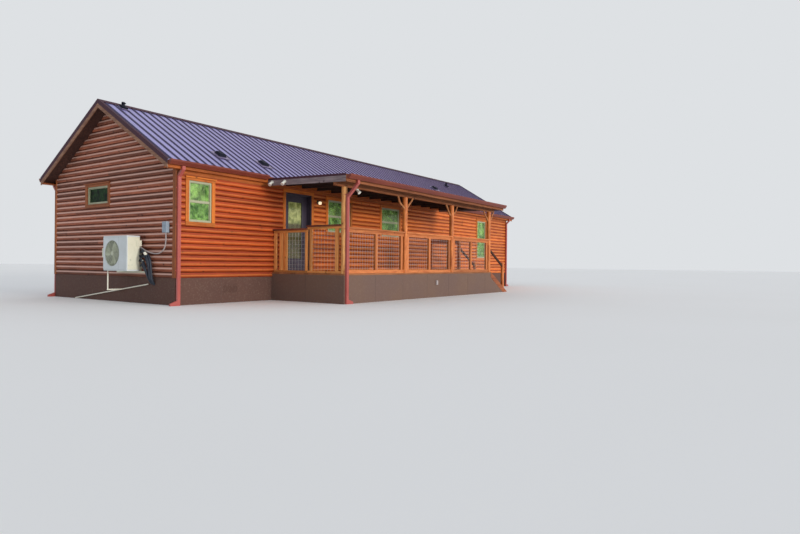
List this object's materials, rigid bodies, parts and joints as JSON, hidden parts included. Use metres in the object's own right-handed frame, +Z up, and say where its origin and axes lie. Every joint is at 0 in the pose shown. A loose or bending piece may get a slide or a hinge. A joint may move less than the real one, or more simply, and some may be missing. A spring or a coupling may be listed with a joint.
{
  "type": "log cabin",
  "caption": "Long log-sided cabin with a metal gable roof, a roofed porch with mesh railings along its front, a stair at its far end, and a hinged entry door.",
  "frame": {"origin": "ground level under the middle of the front wall, on the underside of its foundation", "axes": "+X along the front wall away from the gable with the outdoor unit, +Y into the house, +Z up"},
  "size_m": [17.791, 8.325, 4.809],
  "materials": {
    "cedar_siding": "stained, satin",
    "cedar_trim": "stained, satin",
    "framing_wood": "bare",
    "porch_wood": "stained, satin",
    "roof_frame_wood": "stained dark",
    "fascia_wood": "painted, matte",
    "skirting": "painted, matte",
    "roof_metal": "semi-gloss",
    "gutter_metal": "semi-gloss",
    "vinyl": "satin",
    "glass": "clear",
    "door_paint": "satin",
    "hardware": "satin",
    "unit_paint": "satin",
    "box_grey": "satin",
    "insulation": "matte",
    "white_plastic": "satin",
    "lamp_metal": "satin"
  },
  "bodies": {
    "house": {"foundation_long_walls": "skirting", "foundation_gable_walls": "skirting", "floor_platform": "framing_wood", "wall_front_near": "framing_wood", "wall_front_far": "framing_wood", "wall_front_over_door": "framing_wood", "wall_back": "framing_wood", "wall_gables": "framing_wood", "log_siding_front": "cedar_siding", "log_siding_back": "cedar_siding", "log_siding_gables": "cedar_siding", "corner_boards": "cedar_trim", "window_frames": "vinyl", "window_glass": "glass", "casings": "cedar_trim", "door_jambs": "cedar_trim", "door_head_jamb": "cedar_trim", "door_threshold": "hardware", "door_stops": "cedar_trim", "hinge_frame_halves": "hardware", "roof_deck_front": "framing_wood", "roof_deck_back": "framing_wood", "roof_sheet_front": "roof_metal", "roof_sheet_back": "roof_metal", "roof_trims": "roof_metal", "rake_boards": "fascia_wood", "eave_boards": "fascia_wood", "frieze_boards": "cedar_trim", "gutters": "gutter_metal", "downspouts": "gutter_metal", "roof_vents": "roof_metal", "porch_skirts": "skirting", "porch_deck": "porch_wood", "porch_posts": "porch_wood", "porch_beam": "porch_wood", "post_braces": "porch_wood", "porch_roof_frame": "roof_frame_wood", "porch_roof_sheet": "roof_metal", "porch_fascias": "fascia_wood", "porch_railings": "porch_wood", "stair_sides": "skirting", "stair_stringers": "porch_wood", "stair_treads": "porch_wood", "stair_railings": "porch_wood", "air_unit": "unit_paint", "air_unit_bracket": "unit_paint", "disconnect_box": "box_grey", "refrigerant_lines": "insulation", "condensate_drains": "white_plastic", "wall_lamp": "lamp_metal", "flood_lights": "white_plastic"},
    "door": {"door_leaf": "door_paint", "door_glass": "glass", "door_knobs": "hardware", "hinge_leaf_halves": "hardware"}
  },
  "joints": [
    {"name": "entry_door_hinge", "type": "hinge", "parent": "house", "child": "door", "pos_m": [-5.219, 0.158, 1.758], "axis": [0, 0, 1], "range_deg": [0, 100]}
  ]
}
